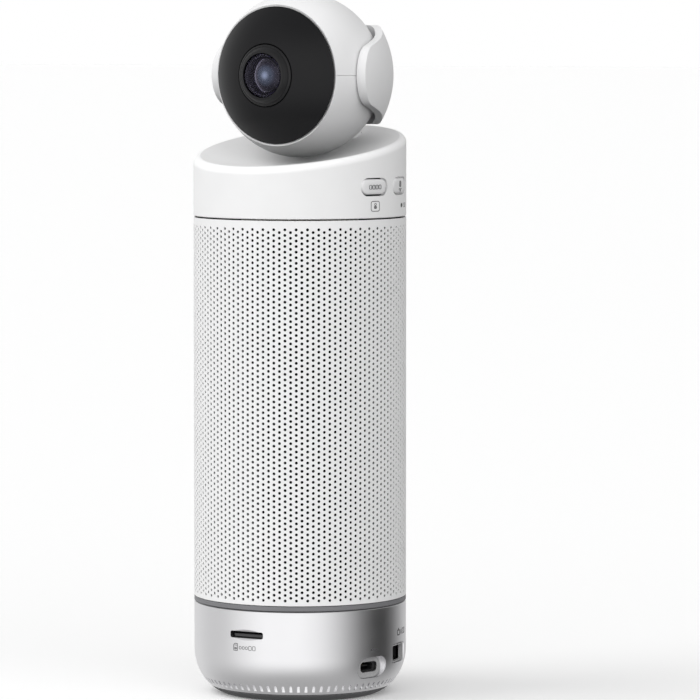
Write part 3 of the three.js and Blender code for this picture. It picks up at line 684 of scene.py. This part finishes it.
cap = [(DISH_R * i / 28, dish_z(DISH_R * i / 28)) for i in range(28)]
cap += [(DISH_R + r, z) for r, z in arc(0, RIM_Z - FILLET, FILLET, 90, 0, 12)]
cap += [(BODY_R, 219.0), (BODY_R, 212.0), (BODY_R, CAP_LOW + 0.25), (BODY_R - 0.25, CAP_LOW)]
cap += [(CAP_BORE, CAP_LOW), (CAP_BORE, 212.0), (CAP_BORE, 228.6)]
cap += [(3.8 * i, dish_z(3.8 * i) - CAP_SHEET) for i in range(10, -1, -1)]
cap_verts, cap_faces = lathe(cap, 240, closed=False)
cap_verts = [(x, y, z + SLOPE * y if z > 220 else z) for x, y, z in cap_verts]
top = mesh_object("slanted_cap", (cap_verts, cap_faces))
button_outline = rounded(BUTTON_W, BUTTON_H, BUTTON_H / 2 - 0.01, 16)
for azimuth in BUTTONS.values():
    boolean(top, prism(button_outline, azimuth, BUTTON_Z, [30, 44.75, 46.0], [0.5, 0.5, 0.9]))
boolean(top, prism(rounded(2.7, 1.9, 0.9, 8), LIGHT_AZ, LIGHT_Z, [36, 46]))
neck_slot = loft([[(u, v + NECK_Y, z) for u, v in rounded(18.6, 7.4, 1.8, 8)] for z in (220, 250)])
boolean(top, neck_slot)


def cap_normal(p):
    r = math.hypot(p.x, p.y)
    if r > BODY_R - 0.002:
        return radial(p) if CAP_LOW + 0.2 < p.z < RIM_Z + SLOPE * p.y - FILLET + 0.3 else None
    flat = p.z - SLOPE * p.y
    if r < DISH_R and abs(flat - dish_z(r)) < 0.15:
        k = 2 * DISH_DEPTH / DISH_R**2
        return Vector((-k * p.x, -k * p.y - SLOPE, 1)).normalized()
    return None


piece(top, "head", CAP_WHITE, ["top_cap"], 25, cap_normal)
top.visible_diffuse = False  # keeps the ball's underside in shade

# each key's section from its root out to its crown, as depth below the wall and inset from the outline
KEY_ROOT = 5.4
KEY_SECTION = [
    (KEY_ROOT, 0.15), (1.1, 0.15), (0.62, 0.2), (0.3, 0.3), (0.1, 0.62), (0.0, 1.05), (-0.05, 1.7),
    (-0.08, 2.6),
]
for name, azimuth in BUTTONS.items():
    loops = []
    for drop, inset in KEY_SECTION:
        loop = []
        for u, v in rounded(BUTTON_W - 2 * inset, BUTTON_H - 2 * inset, BUTTON_H / 2 - inset - 0.01, 16):
            wall = BODY_R if drop == KEY_ROOT else math.sqrt(BODY_R**2 - u * u)
            loop.append(place(azimuth, u, BUTTON_Z + v, wall - drop - 0.05))
        loops.append(loop)
    key = mesh_object(f"{name}_key", loft(loops))
    piece(key, f"{name}_button", WHITE, [f"{name}_button"], 40)


# ---- printed marks: thin ink shapes on a curved wall ----
def outline_mark(points, thick):
    """A closed line of the given thickness along points, in steps short enough to follow a round wall."""
    fine = []
    for (x0, y0), (x1, y1) in zip(points, points[1:] + points[:1]):
        count = max(1, math.ceil(math.hypot(x1 - x0, y1 - y0) / 0.5))
        fine += [(x0 + (x1 - x0) * i / count, y0 + (y1 - y0) * i / count) for i in range(count)]
    return offset(fine, thick / 2), offset(fine, -thick / 2)


def stick(line, azimuth, z, surface, proud=0.04, sunk=0.1):
    """Lays a line on a surface, so that it stands proud of it a little."""
    outer, inner = line
    loops = []
    for points, depth in ((outer, proud), (inner, proud), (inner, -sunk), (outer, -sunk)):
        loops.append([place(azimuth, u, z + v, surface(u, z + v) + depth) for u, v in points])
    return loft(loops, ring=True)


def rounded_wall(u, z):
    """How far out the wall of the base or the body is, u to the side of an azimuth's direction."""
    r = base_r(z) if z < 40 else BODY_R
    return math.sqrt(r * r - u * u)


def button_wall(u, z):
    return math.sqrt(BODY_R**2 - u * u) + 0.05


def bar_mark(azimuth, surface, u, z, w, h, proud=0.05, sunk=0.1):
    """A filled bar that follows the wall, in steps along its width."""
    count = max(2, round(w / 0.4))
    loops = []
    for i in range(count + 1):
        x = u + w * (i / count - 0.5)
        trim = 0.25 * h if i in (0, count) else 0.0
        low, high = z - h / 2 + trim, z + h / 2 - trim
        corners = ((low, proud), (high, proud), (high, -sunk), (low, -sunk))
        loops.append([place(azimuth, x, v, surface(x, v) + depth) for v, depth in corners])
    return loft(loops)


def bars(azimuth, surface, z, *specs, proud=0.05, sunk=0.1):
    """Bars round a height z, each as (u, v, width, height)."""
    return joined(*[bar_mark(azimuth, surface, u, z + v, w, h, proud, sunk) for u, v, w, h in specs])


def letters(azimuth, surface, z, start, *sizes):
    """A row of small blank frames that stands in for a printed word."""
    parts = []
    for w, h in sizes:
        frame_mark = shifted(rounded(w, h, 0.3, 3), start + w / 2, 0)
        parts.append(stick(outline_mark(frame_mark, 0.26), azimuth, z, surface))
        start += w + 0.55
    return joined(*parts)


card_icon = shifted([(-0.95, -1.45), (0.95, -1.45), (0.95, 1.45), (-0.35, 1.45), (-0.95, 0.8)], -5.2, 0)
card_dots = [(-5.4, 0.75, 0.3, 0.6), (-4.85, 0.75, 0.3, 0.6), (-5.2, -0.55, 1.3, 0.9)]
SMALL, TALL = (1.0, 1.1), (1.25, 1.7)
base_marks = joined(
    stick(outline_mark(card_icon, 0.4), CARD_AZ, 23.4, rounded_wall),
    bars(CARD_AZ, rounded_wall, 23.4, *card_dots),
    letters(CARD_AZ, rounded_wall, 23.2, -3.3, SMALL, SMALL, SMALL, TALL, TALL),
)
port_icon = shifted(rounded(2.4, 2.0, 0.4, 4), -0.9, 0)
port_marks = joined(
    stick(outline_mark(port_icon, 0.5), NET_AZ, 26.9, rounded_wall),
    bars(NET_AZ, rounded_wall, 26.9, (-0.9, 1.45, 0.9, 0.9), (2.0, 0, 0.7, 2.4)),
    letters(NET_AZ, rounded_wall, 27.1, 3.4, (1.8, 2.2), (1.8, 2.2)),
    bars(USB_AZ, rounded_wall, 21.6, (-1.4, 0, 0.9, 0.9), (0.8, 0, 2.4, 0.4)),
)
piece(mesh_object("base_printing", base_marks), "body", PALE_INK)
piece(mesh_object("port_printing", port_marks), "body", INK)

lock_bow = shifted(rounded(1.1, 0.8, 0.38, 5), 0, 0.75)
cap_marks = joined(
    stick(outline_mark(rounded(4.9, 4.1, 0.9, 8), 0.34), BUTTONS["mode"], 207.4, rounded_wall),
    stick(outline_mark(lock_bow, 0.3), BUTTONS["mode"], 207.4, rounded_wall),
    bars(BUTTONS["mode"], rounded_wall, 207.4, (0, -0.45, 1.7, 1.3)),
    letters(LIGHT_AZ, rounded_wall, LIGHT_Z, 2.6, (1.6, 1.6), (1.6, 1.6)),
)
piece(mesh_object("cap_printing", cap_marks), "head", PALE_INK)
led = prism(rounded(2.6, 1.8, 0.85, 8), LIGHT_AZ, LIGHT_Z, [39.2, 44.7, 44.95], [0, 0, -0.2])
piece(mesh_object("status_light", led), "head", BLACK_FACE)
for name, azimuth in BUTTONS.items():
    if name == "mute":
        icon = [(0, 0.8, 1.7, 2.6), (0, -1.3, 3.2, 0.4), (0, -2.0, 0.5, 0.9)]
        marks = bars(azimuth, button_wall, BUTTON_Z, *icon, proud=0.03, sunk=0.25)
    else:
        marks = letters(azimuth, button_wall, BUTTON_Z, -3.4, *[(1.3, 1.6)] * 4)
    piece(mesh_object(f"{name}_key_printing", marks), f"{name}_button", PALE_INK)


# ---- yoke ----
YOKE_OUT, YOKE_IN, YOKE_THINNING = 39.6, 35.5, 1.6
CLEAR_R = 35.45  # the ball turns inside this radius
LOBE_REACH, LOBE_HALF, HALF_HEIGHT = 9.5, 13.05, 21.0
TANGENT_Z = 12.59  # where the lobe's round end meets the band's edge
# the band's half height at each distance behind the tilt axis
SWEEP = [
    (-2.5, 12.59), (0.0, 13.4), (2.5, 14.2), (7.0, 15.5), (11.0, 16.8), (15.0, 18.5), (17.0, 19.4),
    (19.0, 20.15), (21.0, 20.7), (24.0, 21.0), (60.0, 21.0),
]


def half_height(y):
    """Half the band's height at a distance behind the tilt axis."""
    for (ya, za), (yb, zb) in zip(SWEEP, SWEEP[1:]):
        if y <= yb:
            t = max(0.0, (y - ya) / (yb - ya))
            return za + (zb - za) * t
    return HALF_HEIGHT


def band_radius(z, inner):
    """The band's outer or inner radius. It thins towards its upper and lower edges."""
    return YOKE_IN + YOKE_THINNING * (z / HALF_HEIGHT) ** 2 if inner else YOKE_OUT


def yoke_layer(inner):
    """One face of the band as rows of points from the right lobe round the back to the left lobe."""
    columns, rows = 36, 150
    layer = []
    for i in range(rows + 1):
        row = []
        for j in range(columns + 1):
            s = math.sin(math.radians(-86 + 172 * j / columns)) / math.sin(math.radians(86))
            z0 = TANGENT_Z * s
            y0 = -LOBE_REACH * math.sqrt(max(0.0, 1 - (z0 / LOBE_HALF) ** 2))
            start = math.acos(max(-1, min(1, -y0 / math.sqrt(band_radius(z0, inner) ** 2 - z0**2))))
            theta = start + (2 * math.pi - 2 * start) * i / rows
            z = z0
            for _ in range(30):
                rho = math.sqrt(band_radius(z, inner) ** 2 - z * z)
                z = s * max(TANGENT_Z, half_height(-rho * math.cos(theta)))
            rho = math.sqrt(band_radius(z, inner) ** 2 - z * z)
            row.append((rho * math.sin(theta), -rho * math.cos(theta), BALL_Z + z))
        layer.append(row)
    return layer


def yoke_band():
    """The band between its two layers, closed along its rim."""
    outer, inner = yoke_layer(False), yoke_layer(True)
    rows, columns = len(outer) - 1, len(outer[0]) - 1
    loops = []
    for layer in (outer, inner):
        edge = [layer[0][j] for j in range(columns)] + [layer[i][columns] for i in range(rows)]
        edge += [layer[rows][j] for j in range(columns, 0, -1)] + [layer[i][0] for i in range(rows, 0, -1)]
        loops.append(edge)
    parts = [loft(loops, ends=False)]
    step = columns + 1
    for layer in (outer, inner):
        faces = []
        for i in range(rows):
            for j in range(columns):
                a = i * step + j
                faces.append([a, a + 1, a + step + 1, a + step])
        parts.append(([p for row in layer for p in row], faces))
    return joined(*parts)


yoke = mesh_object("yoke_band", yoke_band())
bevelled(yoke, 0.7, 4, 50)
neck = loft([[(u, v + NECK_Y, z) for u, v in rounded(18, 6.8, 1.6, 8)] for z in (206.3, 230, 247.5)])
boolean(yoke, neck, "UNION")
clear = [(0, -CLEAR_R), *arc(0, 0, CLEAR_R, -87, 87, 58), (0, CLEAR_R)]
boolean(yoke, moved(lathe(clear, 144, closed=False), lambda v: (v.x, v.y, v.z + BALL_Z)))
for azimuth in (90, 270):
    boolean(yoke, trunnion_bore(3.9, 30, 38.2, azimuth))


def yoke_normal(p):
    v = Vector((p.x, p.y, p.z - BALL_Z))
    if abs(v.length - YOKE_OUT) < 0.03:
        return v.normalized()
    return None


piece(yoke, "head", WHITE, ["yoke"], 35, yoke_normal, 0.98)


# ---- ball ----
def ball_point(lens_angle, turn):
    """A point of the ball's surface at an angle from the lens axis, turned about it."""
    a, t = math.radians(lens_angle), math.radians(turn)
    ring = BALL_R * math.sin(a)
    return (ring * math.cos(t), -BALL_R * math.cos(a), BALL_Z + ring * math.sin(t))


def half_shell(side):
    """The outer skin from the black face to the back, from the seam up or down, as a grid."""
    seam = 0.06
    rim = math.degrees(math.acos(FACE_PLANE / BALL_R))
    rows, columns = 56, 72
    verts, faces = [], []
    for i in range(rows + 1):
        angle = rim + (179.2 - rim) * i / rows
        radius_here = BALL_R * math.sin(math.radians(angle))
        skip = math.degrees(math.asin(min(1, seam / radius_here)))
        for j in range(columns + 1):
            verts.append(ball_point(angle, side * (skip + (180 - 2 * skip) * j / columns)))
    step = columns + 1
    for i in range(rows):
        for j in range(columns):
            a = i * step + j
            faces.append([a, a + 1, a + step + 1, a + step])
    last = rows * step
    faces.append([last + j for j in range(columns + 1)])
    return verts, faces


def ball_normal(p):
    v = Vector((p.x, p.y, p.z - BALL_Z))
    return v.normalized() if abs(v.length - BALL_R) < 0.01 else None


for name, side in (("upper", 1), ("lower", -1)):
    skin = mesh_object(f"ball_{name}", half_shell(side))
    bm = bmesh.new()
    bm.from_mesh(skin.data)
    middle = Vector((0, 0, BALL_Z * MM))
    for face in bm.faces:
        if face.normal.dot(face.calc_center_median() - middle) < 0:
            face.normal_flip()
    bm.to_mesh(skin.data)
    bm.free()
    wall = skin.modifiers.new("wall", "SOLIDIFY")
    wall.thickness = 2.2 * MM
    wall.offset = -1
    bake_modifiers(skin)
    bevelled(skin, 0.12, 2, 50)
    for azimuth in (90, 270):
        boolean(skin, trunnion_bore(6.6, 25, 40, azimuth))
    piece(skin, "ball", WHITE, [f"shell_{name}"], 35, ball_normal, 0.98)

dome_centre = DOME_APEX - DOME_R


def dome(r, inset=0.0):
    """How far the black face stands before the ball's middle, at a radius from the lens axis."""
    return dome_centre + math.sqrt((DOME_R - inset) ** 2 - r * r)


def sag(radius, r):
    """How far a lens of a radius of curvature falls back at a distance from its axis."""
    return radius - math.sqrt(radius**2 - r * r)


def lens_piece(name, section, count, mat, node, angle=25, closed=True):
    """A round piece of the ball, turned about the lens axis."""
    part = to_front(lathe(section, count, closed=closed))
    piece(mesh_object(name, part), "ball", mat, [node], angle)


face_low = FACE_PLANE + 0.25
face_r = math.sqrt(DOME_R**2 - (face_low + 0.35 - dome_centre) ** 2)
cover = [(face_r - 0.25, face_low), (face_r, face_low + 0.12), (face_r, face_low + 0.35)]
cover += [(r, dome(r)) for r in spread_values(face_r, GROOVE_R + 0.25, 24)[1:]]
cover += [(GROOVE_R, dome(GROOVE_R) - 0.25), (GROOVE_R, dome(GROOVE_R, 2))]
cover += [(r, max(face_low, dome(r, 2))) for r in spread_values(GROOVE_R, face_r - 2.8, 8)[1:]]
lens_piece("face_dome", cover, 200, BLACK_FACE, "face_cover", 30)

bezel = [(9.3, 25.0), (12.9, 25.0), (12.9, 27.05), (12.75, 27.25), (12.1, 27.6)]
bezel += [(11.9, 27.55), (11.7, 27.9), (10.6, 28.95), (10.4, 28.95), (10.2, 29.2), (9.6, 29.45)]
bezel += [(9.4, 29.42), (9.3, 29.2)]
lens_piece("lens_ring", bezel, 160, LENS_BLACK, "lens_bezel")

hollow = 27.8 + sag(12.0, 8.0)
front_glass = [(r, 31.8 - sag(16.5, r)) for r in spread_values(0, 9.0, 20)]
front_glass += [(9.0, 27.8), (8.0, 27.8)]
front_glass += [(r, hollow - sag(12.0, r)) for r in spread_values(8.0, 0, 14)[1:]]
lens_piece("dome_lens", front_glass, 128, GLASS, "front_lens", 40, closed=False)

barrel = [(11.5, 6.0), (11.5, 24.6), (9.2, 24.6), (9.2, 27.3), (8.7, 27.3), (8.4, 26.95), (8.1, 27.05)]
barrel += [(7.7, 26.6), (7.4, 26.7), (7.0, 26.35), (6.7, 26.45), (6.3, 26.15), (5.9, 26.25), (5.7, 26.1)]
barrel += [(8.4, 26.1), (8.4, 20), (9.4, 20), (9.4, 6.0)]
lens_piece("lens_tube", barrel, 96, BAFFLE, "lens_barrel")
second = [(r, 27.4 - sag(11.5, r)) for r in spread_values(0, 5.6, 16)]
second += [(5.6, 25.9), (8.3, 25.9), (8.3, 23.8), (4, 22.8), (0, 22.5)]
# the inner element's bright blue middle is a painted highlight, not a lit reflection
lens_piece("inner_lens", second, 96, PAINTED_HIGHLIGHT_LENS, "rear_lens", 40, closed=False)


# ---- stage ----
floor_mesh = bpy.data.meshes.new("floor")
floor_mesh.from_pydata([(-30, -30, 0), (30, -30, 0), (30, 30, 0), (-30, 30, 0)], [], [[0, 1, 2, 3]])
floor = bpy.data.objects.new("floor", floor_mesh)
bpy.context.scene.collection.objects.link(floor)
floor_mat = bpy.data.materials.new("floor")
floor_mat.use_nodes = True
floor_shader = floor_mat.node_tree.nodes["Principled BSDF"]
floor_shader.inputs["Base Color"].default_value = (0.95, 0.95, 0.95, 1)
floor_shader.inputs["Roughness"].default_value = 0.7
floor_shader.inputs["Emission Color"].default_value = (1, 1, 1, 1)
floor_shader.inputs["Emission Strength"].default_value = 0.12
floor_mesh.materials.append(floor_mat)
floor.visible_glossy = False
floor.visible_diffuse = False

CAMERA_AZ, CAMERA_DIST, CAMERA_Z, FOCAL = 32.6, 1.92, 0.280, 233.4
turn = math.radians(CAMERA_AZ)
right = Vector((math.cos(turn), math.sin(turn), 0))
camera_data = bpy.data.cameras.new("camera")
camera_data.lens = FOCAL
camera_data.clip_end = 100
camera = bpy.data.objects.new("camera", camera_data)
bpy.context.scene.collection.objects.link(camera)
camera.location = (math.sin(turn) * CAMERA_DIST, -math.cos(turn) * CAMERA_DIST, CAMERA_Z)
target = right * 0.0212 + Vector((0, 0, 0.1452))
camera.rotation_euler = (target - camera.location).to_track_quat("-Z", "Y").to_euler()
bpy.context.scene.camera = camera


def sun(name, azimuth, height, strength, softness):
    """A soft sun from an azimuth, at a height above the horizon, all in degrees."""
    data = bpy.data.lights.new(name, "SUN")
    data.energy = strength
    data.angle = math.radians(softness)
    light = bpy.data.objects.new(name, data)
    bpy.context.scene.collection.objects.link(light)
    up = math.radians(height)
    towards = Vector(place(azimuth, 0, math.sin(up), math.cos(up)))
    light.rotation_euler = towards.to_track_quat("Z", "Y").to_euler()
    light.visible_glossy = False


sun("key", -50, 45, 0.9, 40)

# The studio round the object, by azimuth from -180 to 180 degrees: the cards that reflect in the metal and
# the glass, and the softer light that falls on the white parts and the floor.
CARDS = [
    (-180, 0.5), (-150, 0.62), (-112, 0.7), (-80, 0.58), (-55, 0.6), (-35, 0.8), (-12, 0.98), (32, 1.0),
    (57, 0.82), (77, 0.52), (92, 0.28), (103, 0.12), (117, 0.02), (137, 0.01), (150, 0.11), (162, 0.27),
    (180, 0.5),
]
LIGHT = [
    (-180, 0.3), (-130, 0.55), (-60, 0.7), (-20, 0.85), (20, 1.0), (60, 1.2), (85, 1.15), (100, 0.45),
    (130, 0.25), (180, 0.3),
]
BACKDROP = 1.0
world = bpy.data.worlds.new("studio")
world.use_nodes = True
bpy.context.scene.world = world
tree = world.node_tree
links = tree.links


def world_math(operation, *values):
    node = tree.nodes.new("ShaderNodeMath")
    node.operation = operation
    for socket, value in zip(node.inputs, values):
        if isinstance(value, (int, float)):
            socket.default_value = value
        else:
            links.new(value, socket)
    return node.outputs[0]


direction = tree.nodes.new("ShaderNodeSeparateXYZ")
links.new(tree.nodes.new("ShaderNodeTexCoord").outputs["Generated"], direction.inputs[0])
forward = world_math("MULTIPLY", direction.outputs["Y"], -1.0)
round_angle = world_math("ARCTAN2", direction.outputs["X"], forward)
fraction = world_math("ADD", world_math("DIVIDE", round_angle, 2 * math.pi), 0.5)


def blend(factor, under, over):
    """Mixes two colours, each a socket or a grey level, by a factor socket."""
    node = tree.nodes.new("ShaderNodeMix")
    node.data_type = "RGBA"
    links.new(factor, node.inputs["Factor"])
    for name, value in (("A", under), ("B", over)):
        if isinstance(value, float):
            node.inputs[name].default_value = (value, value, value, 1)
        else:
            links.new(value, node.inputs[name])
    return node.outputs["Result"]


def rise(start, end, share):
    """A factor that climbs from 0 at one height of the direction to a share at another."""
    node = tree.nodes.new("ShaderNodeMapRange")
    node.interpolation_type = "SMOOTHSTEP"
    node.inputs["From Min"].default_value, node.inputs["From Max"].default_value = start, end
    node.inputs["To Max"].default_value = share
    links.new(direction.outputs["Z"], node.inputs["Value"])
    return node.outputs["Result"]


def studio(stops, gain, top, ground, band, below):
    """Light by azimuth, blended to the top level above the band and to the ground level below it."""
    ramp = tree.nodes.new("ShaderNodeValToRGB")
    elements = ramp.color_ramp.elements
    elements.remove(elements[1])
    for i, (azimuth, value) in enumerate(stops):
        stop = elements[0] if i == 0 else elements.new((azimuth + 180) / 360)
        stop.position = (azimuth + 180) / 360
        stop.color = (value * gain, value * gain, value * gain, 1)
    links.new(fraction, ramp.inputs["Fac"])
    upper = blend(rise(*band, 1.0), ramp.outputs["Color"], top)
    return blend(rise(*below, 1.0), upper, ground)


light_path = tree.nodes.new("ShaderNodeLightPath")
falling = studio(LIGHT, 1.95, 0.42, 0.04, (0.45, 0.75), (0.05, -0.3))
reflected = studio(CARDS, 1.2, 0.5, 0.46, (0.3, 0.85), (-0.24, -0.78))
lit = blend(light_path.outputs["Is Glossy Ray"], falling, reflected)
seen = blend(light_path.outputs["Is Camera Ray"], lit, BACKDROP)
links.new(seen, tree.nodes["Background"].inputs["Color"])

bpy.context.scene.view_settings.view_transform = "Standard"
